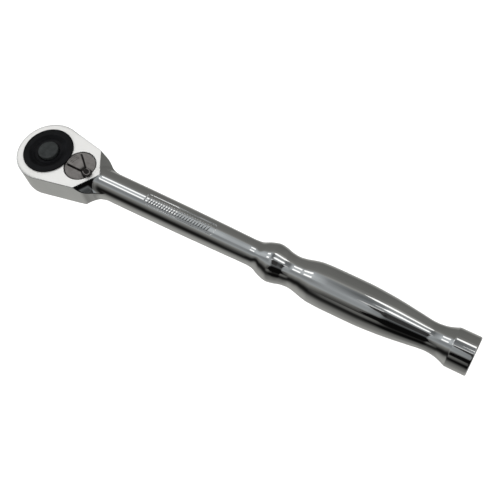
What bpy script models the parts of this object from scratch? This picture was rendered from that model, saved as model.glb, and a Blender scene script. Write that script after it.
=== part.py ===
"""Ratchet wrench with a 3/8 inch square drive, as an assembly of separate pieces.

Frame: the origin is the centre of the drive square's flat tip.  +X runs along the handle
to the pommel and +Z points up through the head, out of the face with the thumb disc.
All lengths are in metres.
"""
import math

import bmesh
import bpy
from mathutils import Matrix, Vector

MM = 0.001

# Drive square and head
SQUARE_SIDE = 9.525 * MM
SQUARE_LENGTH = 10.7 * MM
SQUARE_CORNER = 0.45 * MM
SQUARE_TIP_CHAMFER = 0.7 * MM
HEAD_BOTTOM = 11.0 * MM
HEAD_TOP = 23.0 * MM
NOSE_RADIUS = 13.9 * MM
SHOULDER_X = 20.3 * MM
SHOULDER_Y = 10.1 * MM
APEX_X = 26.6 * MM
LOWER_APEX_X = 28.4 * MM
LOWER_SHOULDER_X = 22.4 * MM
LOWER_SHOULDER_Y = SHOULDER_Y - 0.2 * MM
SHOULDER_CURVE = (  # plan of the rounded shoulder on the +Y side, in millimetres
    (21.9, 9.85), (23.4, 9.35), (24.8, 8.65), (26.0, 7.85), (27.2, 7.0), (28.6, 6.35),
    (30.2, 6.0), (33.1, 5.7), (33.1, 0.0),
)
SCOOP_RADIUS = 8.0 * MM
SCOOP_RISE = 3.6 * MM  # height of the scoop's axis over the face it opens into
SCOOP_BEFORE = 16.0 * MM
SCOOP_AFTER = 14.0 * MM
OVERCUT = 1.0 * MM  # how far a cutter runs past the face it opens

# Handle
HANDLE_AXIS_Z = HEAD_TOP - 5.83 * MM
HANDLE_SIDES = 32
HANDLE_STATIONS = (  # distance along X and radius, both in millimetres
    (24.2, 5.6), (28.4, 5.9), (34.0, 5.9), (62.0, 5.76), (86.0, 5.38), (97.5, 5.17), (100.0, 5.38),
    (104.0, 6.95), (107.3, 7.68), (110.0, 7.25), (113.0, 6.47), (115.8, 6.21), (119.0, 6.67),
    (122.0, 7.43), (125.0, 7.97), (131.0, 8.19), (143.0, 8.12), (152.0, 7.6), (158.0, 6.98),
    (164.0, 6.19), (170.5, 5.45), (173.5, 5.72), (177.0, 6.66), (179.4, 7.26), (181.6, 7.35),
    (185.3, 7.28), (186.0, 6.8),
)

# Ratchet gear and its bore through the head
TEETH = 36
GEAR_TIP_RADIUS = 9.2 * MM
TOOTH_DEPTH = 0.7 * MM
GEAR_BOTTOM = 13.6 * MM
GEAR_TOP = 18.9 * MM
COLLAR_RADIUS = 6.9 * MM
HUB_RADIUS = 6.6 * MM
HUB_BORE_RADIUS = 6.75 * MM
HUB_SHOULDER = HEAD_TOP - 1.8 * MM
NECK_RADIUS = 5.9 * MM
NECK_TOP = HEAD_TOP - 1.0 * MM
HEAD_BORE_RADIUS = 9.5 * MM
POCKET_TOP = 19.4 * MM
PAWL_POCKET_BOTTOM = 13.7 * MM
PAWL_POCKET_TOP = 19.2 * MM
RING_GROOVE_RADIUS = 10.3 * MM
RING_GROOVE_BOTTOM = 11.65 * MM
RING_GROOVE_TOP = 12.55 * MM
COLLAR_GROOVE_RADIUS = 6.15 * MM
COLLAR_GROOVE_BOTTOM = 12.6 * MM
COLLAR_GROOVE_TOP = 13.5 * MM
HUB_GROOVE_RADIUS = 5.75 * MM
HUB_GROOVE_BOTTOM = 19.75 * MM
HUB_GROOVE_TOP = 20.75 * MM
COLLAR_CHAMFER = 0.4 * MM

# Reversing lever
LEVER_X = 16.6 * MM
LEVER_REST = -20.0
LEVER_DISC_RADIUS = 6.5 * MM
LEVER_RECESS_RADIUS = 6.8 * MM
LEVER_RECESS_FLOOR = HEAD_TOP - 2.5 * MM
LEVER_DISC_TOP = HEAD_TOP - 0.1 * MM
LEVER_DISC_BOTTOM = HEAD_TOP - 2.05 * MM
SPINDLE_RADIUS = 3.2 * MM
SPINDLE_BORE_RADIUS = 3.35 * MM
JOURNAL_RADIUS = 1.95 * MM
JOURNAL_BORE_RADIUS = 2.1 * MM
JOURNAL_BORE_BOTTOM = 12.3 * MM
JOURNAL_BOTTOM = 12.6 * MM
JOURNAL_TOP = 13.8 * MM
CLIP_GROOVE_RADIUS = 2.6 * MM
CLIP_GROOVE_BOTTOM = 18.6 * MM
CLIP_GROOVE_TOP = 19.15 * MM
SEAL_GROOVE_RADIUS = 2.5 * MM
SEAL_GROOVE_BOTTOM = 19.5 * MM
SEAL_GROOVE_TOP = 20.3 * MM
LEVER_DISC_CHAMFER = 0.15 * MM
GRIP_CREST = HEAD_TOP + 2.1 * MM
GRIP_PAD = HEAD_TOP + 0.5 * MM
GRIP_GROOVES = (-4.9 * MM, -4.0 * MM, -3.1 * MM)
GRIP_GROOVE_RADIUS = 0.28 * MM
GRIP_GROOVE_REACH = 1.7 * MM
PLUNGER_Z = 16.3 * MM
PLUNGER_RADIUS = 1.15 * MM
PLUNGER_BORE_RADIUS = 1.25 * MM

# Pawl: its swing either side of the middle, in degrees
PAWL_SWING = 5.5
PAWL_BOTTOM = 14.0 * MM
PAWL_TOP = 18.5 * MM
PAWL_SLOT_DEPTH = 3.95 * MM
PAWL_SLOT_REACH = 2.4 * MM
PAWL_SLOT_HEIGHT = 1.45 * MM

# Release button
BUTTON_RADIUS = 4.3 * MM
BUTTON_TOP = HEAD_TOP + 0.9 * MM
FLANGE_RADIUS = 4.85 * MM
FLANGE_BOTTOM = 20.6 * MM
FLANGE_TOP = 21.25 * MM
STEM_RADIUS = 1.95 * MM
STEM_WAIST = 1.2 * MM
STEM_BOTTOM = 4.3 * MM
STEM_TOP = 22.6 * MM
STEM_BORE_RADIUS = 2.05 * MM
STEM_BORE_FLOOR = 2.0 * MM
STEM_SOCKET_TOP = 22.9 * MM
SPRING_POCKET_RADIUS = 3.3 * MM
SPRING_POCKET_FLOOR = 14.5 * MM
BUTTON_POCKET_RADIUS = 5.05 * MM
BUTTON_POCKET_FLOOR = 18.5 * MM
SNAP_GROOVE_RADIUS = 5.45 * MM
SNAP_GROOVE_BOTTOM = 21.35 * MM
SNAP_GROOVE_TOP = 21.8 * MM
BALL_Z = 5.2 * MM
BALL_RADIUS = 1.5 * MM
BALL_PROUD = 0.5 * MM
BALL_HOLE_RADIUS = 1.62 * MM

# Thumb disc
DISC_UNDERSIDE = HEAD_TOP + 0.15 * MM
DISC_RIM = HEAD_TOP + 0.7 * MM
DISC_HUB_RADIUS = 6.1 * MM
DISC_SKIRT_RADIUS = 6.55 * MM
DISC_SKIRT_BOTTOM = HEAD_TOP - 1.55 * MM
DISC_FLOOR_BOTTOM = HEAD_TOP - 0.75 * MM
DISC_EYE_RADIUS = 4.5 * MM

# Snap rings on the drive side
RETAINER_BOTTOM = 11.75 * MM
RETAINER_TOP = 12.45 * MM
EYELET_RADIUS = 0.6 * MM


# ---------------------------------------------------------------- helpers

def clear_scene():
    for thing in list(bpy.data.objects):
        bpy.data.objects.remove(thing, do_unlink=True)


def material(name, colour, roughness, metallic):
    made = bpy.data.materials.new(name)
    made.use_nodes = True
    shader = made.node_tree.nodes["Principled BSDF"]
    shader.inputs["Base Color"].default_value = (*colour, 1.0)
    shader.inputs["Roughness"].default_value = roughness
    shader.inputs["Metallic"].default_value = metallic
    return made


def make_object(name, mesh_data, finish=None, location=(0.0, 0.0, 0.0), smooth=True):
    """Turn a bmesh into a named object with its faces pointing out."""
    bmesh.ops.remove_doubles(mesh_data, verts=mesh_data.verts, dist=1e-7)
    bmesh.ops.recalc_face_normals(mesh_data, faces=mesh_data.faces)
    mesh = bpy.data.meshes.new(name)
    mesh_data.to_mesh(mesh)
    mesh_data.free()
    if smooth:
        mesh.shade_smooth()
        mesh.set_sharp_from_angle(angle=math.radians(35.0))
    made = bpy.data.objects.new(name, mesh)
    made.location = location
    bpy.context.scene.collection.objects.link(made)
    if finish:
        mesh.materials.append(finish)
    return made


def polar(radius, degrees, centre=(0.0, 0.0)):
    angle = math.radians(degrees)
    return (centre[0] + radius * math.cos(angle), centre[1] + radius * math.sin(angle))


def arc(radius, start, end, count, centre=(0.0, 0.0)):
    """Points on an arc from start to end degrees, both ends included."""
    step = (end - start) / (count - 1)
    return [polar(radius, start + step * index, centre) for index in range(count)]


def circle(radius, count, centre=(0.0, 0.0)):
    return [polar(radius, 360.0 * index / count, centre) for index in range(count)]


def turn_about(points, degrees, centre):
    """Turn plan points about a centre."""
    angle = math.radians(degrees)
    cosine = math.cos(angle)
    sine = math.sin(angle)
    turned_points = []
    for x, y in points:
        across = x - centre[0]
        along = y - centre[1]
        turned_points.append((
            centre[0] + across * cosine - along * sine,
            centre[1] + across * sine + along * cosine,
        ))
    return turned_points


def mirrored(half):
    """Close a half outline, given for +Y, with its mirror image in -Y."""
    return half + [(x, -y) for x, y in reversed(half) if abs(y) > 1e-9]


def prism(outline, low, high):
    """Extrude a plan outline from one height to another."""
    solid = bmesh.new()
    corners = [solid.verts.new((x, y, low)) for x, y in outline]
    base = solid.faces.new(corners)
    lifted = bmesh.ops.extrude_face_region(solid, geom=[base])
    top = [item for item in lifted["geom"] if isinstance(item, bmesh.types.BMVert)]
    bmesh.ops.translate(solid, verts=top, vec=(0.0, 0.0, high - low))
    return solid


def turned(profile, steps, closed=True):
    """Spin a profile of (radius, height) points about the Z axis."""
    solid = bmesh.new()
    points = [solid.verts.new((radius, 0.0, height)) for radius, height in profile]
    edges = [solid.edges.new((points[i], points[i + 1])) for i in range(len(points) - 1)]
    if closed:
        edges.append(solid.edges.new((points[-1], points[0])))
    bmesh.ops.spin(
        solid,
        geom=points + edges,
        cent=(0.0, 0.0, 0.0),
        axis=(0.0, 0.0, 1.0),
        angle=math.radians(360.0),
        steps=steps,
        use_merge=True,
        use_duplicate=False,
    )
    loose = [edge for edge in solid.edges if not edge.link_faces]
    bmesh.ops.delete(solid, geom=loose, context="EDGES")
    bmesh.ops.remove_doubles(solid, verts=solid.verts, dist=1e-7)
    bmesh.ops.dissolve_degenerate(solid, edges=solid.edges, dist=1e-8)
    return solid


def rod(radius, start, end, steps=24):
    """A plain cylinder between two points."""
    start = Vector(start)
    direction = Vector(end) - start
    solid = bmesh.new()
    bmesh.ops.create_cone(
        solid, cap_ends=True, segments=steps, radius1=radius, radius2=radius,
        depth=direction.length,
    )
    aim = direction.to_track_quat("Z", "Y").to_matrix().to_4x4()
    place = Matrix.Translation(start + direction / 2) @ aim
    bmesh.ops.transform(solid, matrix=place, verts=solid.verts)
    return solid


def coil(radius, wire, low, high, turns):
    """A closed spring wire that winds up the Z axis between two heights."""
    solid = bmesh.new()
    steps = int(turns * 12)
    sides = 5
    rings = []
    for step in range(steps + 1):
        part = step / steps
        height = low + wire + (high - low - 2 * wire) * part
        angle = 2 * math.pi * turns * part
        ring = []
        for side in range(sides):
            around = 2 * math.pi * side / sides
            reach = radius + wire * math.cos(around)
            ring.append(solid.verts.new((
                reach * math.cos(angle),
                reach * math.sin(angle),
                height + wire * math.sin(around),
            )))
        rings.append(ring)
    for lower, upper in zip(rings, rings[1:]):
        for side in range(sides):
            after = (side + 1) % sides
            solid.faces.new((lower[side], lower[after], upper[after], upper[side]))
    solid.faces.new(rings[0])
    solid.faces.new(rings[-1])
    return solid


def boolean(target, tool, operation):
    """Add or take away a hidden tool solid, which stays in the file as a guide."""
    modifier = target.modifiers.new(tool.name, "BOOLEAN")
    modifier.operation = operation
    modifier.solver = "EXACT"
    modifier.object = tool
    tool.hide_render = True
    tool.display_type = "WIRE"


def cut(target, name, solid, location=(0.0, 0.0, 0.0)):
    boolean(target, make_object("cutter_" + name, solid, location=location), "DIFFERENCE")


def join(target, name, solid, location=(0.0, 0.0, 0.0)):
    boolean(target, make_object("cutter_" + name, solid, location=location), "UNION")


# ---------------------------------------------------------------- body forging

def handle_radius(x):
    """Smooth radius of the handle at x, both in millimetres, through the stations."""
    places = [place for place, _ in HANDLE_STATIONS]
    radii = [radius for _, radius in HANDLE_STATIONS]
    rises = [
        (radii[i + 1] - radii[i]) / (places[i + 1] - places[i])
        for i in range(len(places) - 1)
    ]

    def slope(index):
        if index == 0 or index == len(places) - 1:
            return rises[min(index, len(rises) - 1)]
        before = rises[index - 1]
        after = rises[index]
        if before * after <= 0.0:
            return 0.0
        return 2.0 * before * after / (before + after)

    index = max(i for i in range(len(places) - 1) if places[i] <= x)
    span = places[index + 1] - places[index]
    t = (x - places[index]) / span
    return (
        radii[index] * (1 + 2 * t) * (1 - t) ** 2
        + span * slope(index) * t * (1 - t) ** 2
        + radii[index + 1] * t * t * (3 - 2 * t)
        + span * slope(index + 1) * t * t * (t - 1)
    )


def handle_solid():
    """The round handle, turned about its own axis and laid along X."""
    ends = [place for place, _ in HANDLE_STATIONS]
    places = [24.2, 26.3, 28.4, 34.0, 48.0, 62.0, 74.0, 86.0]
    place = 92.0
    while place < ends[-2] - 1.0:
        places.append(place)
        place += 4.0 if 124.0 < place < 164.0 else 2.0
    places += [ends[-2], ends[-1]]
    profile = [(0.0, places[0] * MM)]
    profile += [(handle_radius(place) * MM, place * MM) for place in places]
    profile.append((0.0, places[-1] * MM))
    solid = turned(profile, HANDLE_SIDES, closed=False)
    half_step = Matrix.Rotation(math.pi / HANDLE_SIDES, 4, "Z")
    lay_down = Matrix.Rotation(math.radians(90.0), 4, "Y")
    lay_down = Matrix.Translation((0.0, 0.0, HANDLE_AXIS_Z)) @ lay_down @ half_step
    bmesh.ops.transform(solid, matrix=lay_down, verts=solid.verts)
    return solid


def head_outline():
    """Teardrop plan of the head, with full shoulders that run round into the shank."""
    tangent = math.degrees(math.atan2(NOSE_RADIUS - SHOULDER_Y, SHOULDER_X)) + 1.0
    nose = arc(NOSE_RADIUS, 180.0, 90.0 - tangent, 21)
    shoulder = [(x * MM, y * MM) for x, y in SHOULDER_CURVE]
    return mirrored(nose + shoulder)


def scoop(corner, apex_x, face_z, side, upward):
    """Cylinder that hollows one shoulder out, from the face's V edge outwards."""
    apex = Vector((apex_x, 0.0))
    start = Vector((corner[0], corner[1] * side))
    along = (apex - start).normalized()
    outward = Vector((-along.y, along.x)) * side
    offset = math.sqrt(SCOOP_RADIUS ** 2 - SCOOP_RISE ** 2)
    base = start + outward * offset
    first = base - along * SCOOP_BEFORE
    last = base + along * SCOOP_AFTER
    height = face_z + SCOOP_RISE * upward
    return rod(SCOOP_RADIUS, (first.x, first.y, height), (last.x, last.y, height), 48)


def make_body(finish):
    body = make_object("handle_forging", prism(head_outline(), HEAD_BOTTOM, HEAD_TOP), finish)
    for side in (1, -1):
        corner = (SHOULDER_X, SHOULDER_Y)
        lower = (LOWER_SHOULDER_X, LOWER_SHOULDER_Y)
        label = "left" if side > 0 else "right"
        cut(body, "upper_scoop_" + label, scoop(corner, APEX_X, HEAD_TOP, side, 1))
        cut(body, "lower_scoop_" + label, scoop(lower, LOWER_APEX_X, HEAD_BOTTOM, side, -1))
    above = HEAD_TOP + OVERCUT
    gear_bore = circle(HEAD_BORE_RADIUS, 48)
    cut(body, "gear_bore", prism(gear_bore, HEAD_BOTTOM - OVERCUT, POCKET_TOP))
    ring_groove = circle(RING_GROOVE_RADIUS, 48)
    cut(body, "ring_groove", prism(ring_groove, RING_GROOVE_BOTTOM, RING_GROOVE_TOP))
    cut(body, "hub_bore", prism(circle(HUB_BORE_RADIUS, 36), POCKET_TOP - OVERCUT, above))
    recess = circle(LEVER_RECESS_RADIUS, 36, (LEVER_X, 0.0))
    cut(body, "lever_recess", prism(recess, LEVER_RECESS_FLOOR, above))
    spindle_hole = circle(SPINDLE_BORE_RADIUS, 24, (LEVER_X, 0.0))
    cut(body, "spindle_hole", prism(spindle_hole, PAWL_POCKET_TOP - 0.5 * MM, HEAD_TOP))
    journal = circle(JOURNAL_BORE_RADIUS, 24, (LEVER_X, 0.0))
    cut(body, "journal_hole", prism(journal, JOURNAL_BORE_BOTTOM, PAWL_POCKET_BOTTOM + 0.5 * MM))
    cut(body, "pawl_pocket", prism(pawl_pocket_outline(), PAWL_POCKET_BOTTOM, PAWL_POCKET_TOP))
    join(body, "handle", handle_solid())
    return body


def pawl_pocket_outline():
    """Plan of the pocket the pawl swings in, open towards the gear's bore."""
    front = [
        (2.5 * MM, 8.8 * MM), (5.5 * MM, 10.6 * MM), (8.7 * MM, 10.9 * MM),
        (12.2 * MM, 8.8 * MM), (15.0 * MM, 5.6 * MM),
    ]
    back = arc(5.4 * MM, 95.0, 0.0, 9, (LEVER_X, 0.0))
    return mirrored(front + back)


# ---------------------------------------------------------------- drive train

def gear_outline():
    """Plan of the teeth, each with a narrow crest and flat valleys between them."""
    root = GEAR_TIP_RADIUS - TOOTH_DEPTH
    pitch = 360.0 / TEETH
    outline = []
    for tooth in range(TEETH):
        middle = tooth * pitch
        outline.append(polar(GEAR_TIP_RADIUS, middle - 0.075 * pitch))
        outline.append(polar(GEAR_TIP_RADIUS, middle + 0.075 * pitch))
        outline.append(polar(root, middle + 0.42 * pitch))
        outline.append(polar(root, middle + 0.58 * pitch))
    return outline


def square_solid():
    """The drive square, its tip tapered by a small chamfer all round."""
    half = SQUARE_SIDE / 2
    solid = bmesh.new()
    rings = []
    top = SQUARE_LENGTH + OVERCUT
    heights = ((0.0, SQUARE_TIP_CHAMFER), (SQUARE_TIP_CHAMFER, 0.0), (top, 0.0))
    for height, inset in heights:
        reach = half - inset
        near = reach - SQUARE_CORNER
        ring = []
        for x, y in ((reach, near), (near, reach), (-near, reach), (-reach, near),
                     (-reach, -near), (-near, -reach), (near, -reach), (reach, -near)):
            ring.append(solid.verts.new((x, y, height)))
        rings.append(ring)
    for lower, upper in zip(rings, rings[1:]):
        for index in range(8):
            after = (index + 1) % 8
            solid.faces.new((lower[index], lower[after], upper[after], upper[index]))
    solid.faces.new(rings[0])
    solid.faces.new(rings[-1])
    return solid


def make_drive_gear(finish):
    gear = make_object("drive_gear", prism(gear_outline(), GEAR_BOTTOM, GEAR_TOP), finish)
    core = [
        (0.0, SQUARE_LENGTH),
        (COLLAR_RADIUS - COLLAR_CHAMFER, SQUARE_LENGTH),
        (COLLAR_RADIUS, SQUARE_LENGTH + COLLAR_CHAMFER),
        (COLLAR_RADIUS, COLLAR_GROOVE_BOTTOM),
        (COLLAR_GROOVE_RADIUS, COLLAR_GROOVE_BOTTOM),
        (COLLAR_GROOVE_RADIUS, COLLAR_GROOVE_TOP),
        (COLLAR_RADIUS, COLLAR_GROOVE_TOP),
        (COLLAR_RADIUS, GEAR_BOTTOM + 1.0 * MM),
        (HUB_RADIUS, GEAR_TOP - 1.0 * MM),
        (HUB_RADIUS, HUB_GROOVE_BOTTOM),
        (HUB_GROOVE_RADIUS, HUB_GROOVE_BOTTOM),
        (HUB_GROOVE_RADIUS, HUB_GROOVE_TOP),
        (HUB_RADIUS, HUB_GROOVE_TOP),
        (HUB_RADIUS, HUB_SHOULDER),
        (NECK_RADIUS, HUB_SHOULDER),
        (NECK_RADIUS, NECK_TOP),
        (0.0, NECK_TOP),
    ]
    join(gear, "gear_core", turned(core, 36, closed=False))
    join(gear, "square", square_solid())
    bore = [
        (0.0, STEM_BORE_FLOOR),
        (STEM_BORE_RADIUS, STEM_BORE_FLOOR),
        (STEM_BORE_RADIUS, SPRING_POCKET_FLOOR),
        (SPRING_POCKET_RADIUS, SPRING_POCKET_FLOOR),
        (SPRING_POCKET_RADIUS, BUTTON_POCKET_FLOOR),
        (BUTTON_POCKET_RADIUS, BUTTON_POCKET_FLOOR),
        (BUTTON_POCKET_RADIUS, SNAP_GROOVE_BOTTOM),
        (SNAP_GROOVE_RADIUS, SNAP_GROOVE_BOTTOM),
        (SNAP_GROOVE_RADIUS, SNAP_GROOVE_TOP),
        (BUTTON_POCKET_RADIUS, SNAP_GROOVE_TOP),
        (BUTTON_POCKET_RADIUS, HEAD_TOP),
        (0.0, HEAD_TOP),
    ]
    cut(gear, "stem_bore", turned(bore, 28, closed=False))
    outside = (0.0, -7.0 * MM, BALL_Z)
    cut(gear, "ball_hole", rod(BALL_HOLE_RADIUS, (0.0, 0.0, BALL_Z), outside))
    return gear


def make_thumb_disc(finish):
    """Black dished disc that clips over the gear's neck and turns with it."""
    profile = [
        (DISC_EYE_RADIUS, DISC_FLOOR_BOTTOM),
        (DISC_HUB_RADIUS, DISC_FLOOR_BOTTOM),
        (DISC_HUB_RADIUS, DISC_SKIRT_BOTTOM),
        (DISC_SKIRT_RADIUS, DISC_SKIRT_BOTTOM),
        (DISC_SKIRT_RADIUS, DISC_UNDERSIDE),
        (10.4 * MM, DISC_UNDERSIDE),
        (10.71 * MM, DISC_UNDERSIDE + 0.15 * MM),
        (10.6 * MM, DISC_RIM - 0.12 * MM),
        (10.2 * MM, DISC_RIM),
        (8.1 * MM, DISC_RIM),
        (7.3 * MM, DISC_RIM - 0.25 * MM),
        (5.3 * MM, HEAD_TOP - 0.28 * MM),
        (DISC_EYE_RADIUS, HEAD_TOP - 0.35 * MM),
    ]
    return make_object("thumb_disc", turned(profile, 40), finish)


def make_release_button(finish):
    """Push button with a flange that the thumb disc keeps in."""
    profile = [
        (0.0, FLANGE_BOTTOM),
        (FLANGE_RADIUS, FLANGE_BOTTOM),
        (FLANGE_RADIUS, FLANGE_TOP),
        (BUTTON_RADIUS, FLANGE_TOP),
        (BUTTON_RADIUS, BUTTON_TOP - 0.35 * MM),
        (BUTTON_RADIUS - 0.35 * MM, BUTTON_TOP),
        (0.0, BUTTON_TOP + 0.05 * MM),
    ]
    button = make_object("release_button", turned(profile, 32, closed=False), finish)
    socket = circle(STEM_BORE_RADIUS, 32)
    cut(button, "stem_socket", prism(socket, FLANGE_BOTTOM - OVERCUT, STEM_SOCKET_TOP))
    return button


def make_release_stem(finish):
    """Rod that holds the ball out, with a waist that lets it in when pressed."""
    profile = [
        (0.0, STEM_BOTTOM),
        (STEM_RADIUS - 0.3 * MM, STEM_BOTTOM),
        (STEM_RADIUS, STEM_BOTTOM + 0.3 * MM),
        (STEM_RADIUS, 6.0 * MM),
        (STEM_WAIST, 7.1 * MM),
        (STEM_WAIST, 8.8 * MM),
        (STEM_RADIUS, 9.6 * MM),
        (STEM_RADIUS, STEM_TOP),
        (0.0, STEM_TOP),
    ]
    return make_object("release_stem", turned(profile, 24, closed=False), finish)


def make_detent_ball(finish):
    solid = bmesh.new()
    bmesh.ops.create_uvsphere(solid, u_segments=16, v_segments=10, radius=BALL_RADIUS)
    depth = SQUARE_SIDE / 2 + BALL_PROUD - BALL_RADIUS
    return make_object("detent_ball", solid, finish, location=(0.0, -depth, BALL_Z))


def make_release_spring(finish):
    wire = coil(2.6 * MM, 0.3 * MM, 14.6 * MM, 20.5 * MM, 5)
    return make_object("release_spring", wire, finish)


# ---------------------------------------------------------------- reversing gear

def pawl_outline():
    """Plan of the double-ended pawl in its middle position, about the lever's axis."""
    clear = GEAR_TIP_RADIUS + 0.12 * MM
    tip = GEAR_TIP_RADIUS - TOOTH_DEPTH + 0.2 * MM
    toe = [polar(clear, 29.5)]
    for valley in (35.0, 45.0):
        toe.append(polar(clear, valley - 3.7))
        toe.append(polar(tip, valley - 0.9))
        toe.append(polar(tip, valley + 0.9))
        toe.append(polar(clear, valley + 3.7))
    toe.append(polar(clear, 50.5))
    toe = turn_about(toe, -PAWL_SWING, (LEVER_X, 0.0))
    front = [(11.5 * MM, 0.9 * MM), (11.2 * MM, 2.6 * MM)]
    back = [
        (6.9 * MM, 9.0 * MM), (8.3 * MM, 9.4 * MM), (11.2 * MM, 7.4 * MM),
        (14.0 * MM, 4.9 * MM),
    ]
    ring = arc(5.0 * MM, 110.0, 10.0, 6, (LEVER_X, 0.0))
    return mirrored(front + toe + back + ring)


def make_pawl(finish):
    """The pawl rocks on the lever's spindle and engages the gear with one toe at a time."""
    at_rest = turn_about(pawl_outline(), -PAWL_SWING, (LEVER_X, 0.0))
    local = [(x - LEVER_X, y) for x, y in at_rest]
    place = (LEVER_X, 0.0, 0.0)
    pawl = make_object("pawl", prism(local, PAWL_BOTTOM, PAWL_TOP), finish, location=place)
    bore = circle(SPINDLE_BORE_RADIUS, 32)
    cut(pawl, "pawl_bore", prism(bore, PAWL_BOTTOM - OVERCUT, PAWL_TOP + OVERCUT), place)
    slot = [
        (-PAWL_SLOT_DEPTH, -PAWL_SLOT_REACH), (0.0, -PAWL_SLOT_REACH),
        (0.0, PAWL_SLOT_REACH), (-PAWL_SLOT_DEPTH, PAWL_SLOT_REACH),
    ]
    slot = turn_about(slot, -PAWL_SWING, (0.0, 0.0))
    slot_solid = prism(slot, PLUNGER_Z - PAWL_SLOT_HEIGHT, PLUNGER_Z + PAWL_SLOT_HEIGHT)
    cut(pawl, "detent_slot", slot_solid, place)
    return pawl


def thumb_piece_outline():
    """Fan of the lever's raised grip, wide towards the disc and waisted at the middle."""
    fan = [(-5.55 * MM, 1.4 * MM), (-5.0 * MM, 2.8 * MM), (-4.2 * MM, 3.75 * MM)]
    side = [
        (-2.6 * MM, 2.45 * MM), (-1.0 * MM, 1.6 * MM), (0.8 * MM, 1.15 * MM),
        (3.0 * MM, 1.2 * MM),
    ]
    end = [
        (4.6 * MM, 1.45 * MM), (6.2 * MM, 1.6 * MM), (7.1 * MM, 1.25 * MM),
        (7.6 * MM, 0.55 * MM),
    ]
    half = fan + side + end
    return [(-5.7 * MM, 0.0)] + half + [(x, -y) for x, y in reversed(half)]


def thumb_piece_profile():
    """Side view of the grip: a low pad, a ramp and a tab that hangs over the disc's edge."""
    return [
        (-5.8 * MM, HEAD_TOP - 0.6 * MM), (6.0 * MM, HEAD_TOP - 0.6 * MM),
        (6.3 * MM, HEAD_TOP + 0.3 * MM), (7.8 * MM, HEAD_TOP + 0.4 * MM),
        (7.8 * MM, GRIP_CREST - 0.9 * MM), (7.2 * MM, GRIP_CREST - 0.25 * MM),
        (6.2 * MM, GRIP_CREST), (5.2 * MM, GRIP_CREST - 0.1 * MM),
        (4.2 * MM, GRIP_CREST - 0.6 * MM), (2.4 * MM, HEAD_TOP + 0.75 * MM),
        (0.0, GRIP_PAD - 0.1 * MM), (-3.0 * MM, GRIP_PAD), (-5.8 * MM, GRIP_PAD),
    ]


def lengthwise_prism(side_view, reach):
    """Extrude a side view, in X and Z, to the same reach either side of Y zero."""
    solid = bmesh.new()
    corners = [solid.verts.new((x, -reach, z)) for x, z in side_view]
    base = solid.faces.new(corners)
    pushed = bmesh.ops.extrude_face_region(solid, geom=[base])
    far = [item for item in pushed["geom"] if isinstance(item, bmesh.types.BMVert)]
    bmesh.ops.translate(solid, verts=far, vec=(0.0, 2 * reach, 0.0))
    return solid


def make_reversing_lever(finish):
    """One casting: flush disc, raised thumb piece and the spindle below."""
    place = Matrix.Rotation(math.radians(LEVER_REST), 4, "Z")
    profile = [
        (0.0, JOURNAL_BOTTOM),
        (JOURNAL_RADIUS, JOURNAL_BOTTOM),
        (JOURNAL_RADIUS, JOURNAL_TOP),
        (SPINDLE_RADIUS, JOURNAL_TOP),
        (SPINDLE_RADIUS, CLIP_GROOVE_BOTTOM),
        (CLIP_GROOVE_RADIUS, CLIP_GROOVE_BOTTOM),
        (CLIP_GROOVE_RADIUS, CLIP_GROOVE_TOP),
        (SPINDLE_RADIUS, CLIP_GROOVE_TOP),
        (SPINDLE_RADIUS, SEAL_GROOVE_BOTTOM),
        (SEAL_GROOVE_RADIUS, SEAL_GROOVE_BOTTOM),
        (SEAL_GROOVE_RADIUS, SEAL_GROOVE_TOP),
        (SPINDLE_RADIUS, SEAL_GROOVE_TOP),
        (SPINDLE_RADIUS, LEVER_DISC_BOTTOM),
        (LEVER_DISC_RADIUS, LEVER_DISC_BOTTOM),
        (LEVER_DISC_RADIUS, LEVER_DISC_TOP - LEVER_DISC_CHAMFER),
        (LEVER_DISC_RADIUS - LEVER_DISC_CHAMFER, LEVER_DISC_TOP),
        (0.0, LEVER_DISC_TOP),
    ]
    where = (LEVER_X, 0.0, 0.0)
    lever = make_object("reversing_lever", turned(profile, 32, closed=False), finish, where)
    thumb = prism(thumb_piece_outline(), HEAD_TOP - 0.7 * MM, HEAD_TOP + 2.3 * MM)
    bmesh.ops.transform(thumb, matrix=place, verts=thumb.verts)
    grip = make_object("cutter_thumb_plan", thumb, location=where)
    side_view = lengthwise_prism(thumb_piece_profile(), 5.0 * MM)
    bmesh.ops.transform(side_view, matrix=place, verts=side_view.verts)
    boolean(grip, make_object("cutter_thumb_profile", side_view, location=where), "INTERSECT")
    boolean(lever, grip, "UNION")
    groove_z = GRIP_PAD + 0.1 * MM
    for index, x in enumerate(GRIP_GROOVES):
        left = (x, -GRIP_GROOVE_REACH, groove_z)
        right = (x, GRIP_GROOVE_REACH, groove_z)
        groove = rod(GRIP_GROOVE_RADIUS, left, right, 8)
        bmesh.ops.transform(groove, matrix=place, verts=groove.verts)
        cut(lever, "grip_groove_%d" % (index + 1), groove, where)
    bore = rod(PLUNGER_BORE_RADIUS, (-5.0 * MM, 0.0, PLUNGER_Z), (2.3 * MM, 0.0, PLUNGER_Z))
    bmesh.ops.transform(bore, matrix=place, verts=bore.verts)
    cut(lever, "plunger_bore", bore, where)
    return lever


def make_spindle_clip(finish):
    """Open spring clip in the spindle's groove, just under the head's web."""
    outer = arc(4.3 * MM, 25.0, 335.0, 25)
    inner = arc(2.7 * MM, 335.0, 25.0, 19)
    solid = prism(outer + inner, 18.68 * MM, 19.07 * MM)
    return make_object("spindle_clip", solid, finish, location=(LEVER_X, 0.0, 0.0))


def plunger_aim():
    """Lay a solid built along Z down along the plunger's bore."""
    turn = Matrix.Rotation(math.radians(LEVER_REST), 4, "Z")
    return turn @ Matrix.Rotation(math.radians(90.0), 4, "Y")


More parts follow.
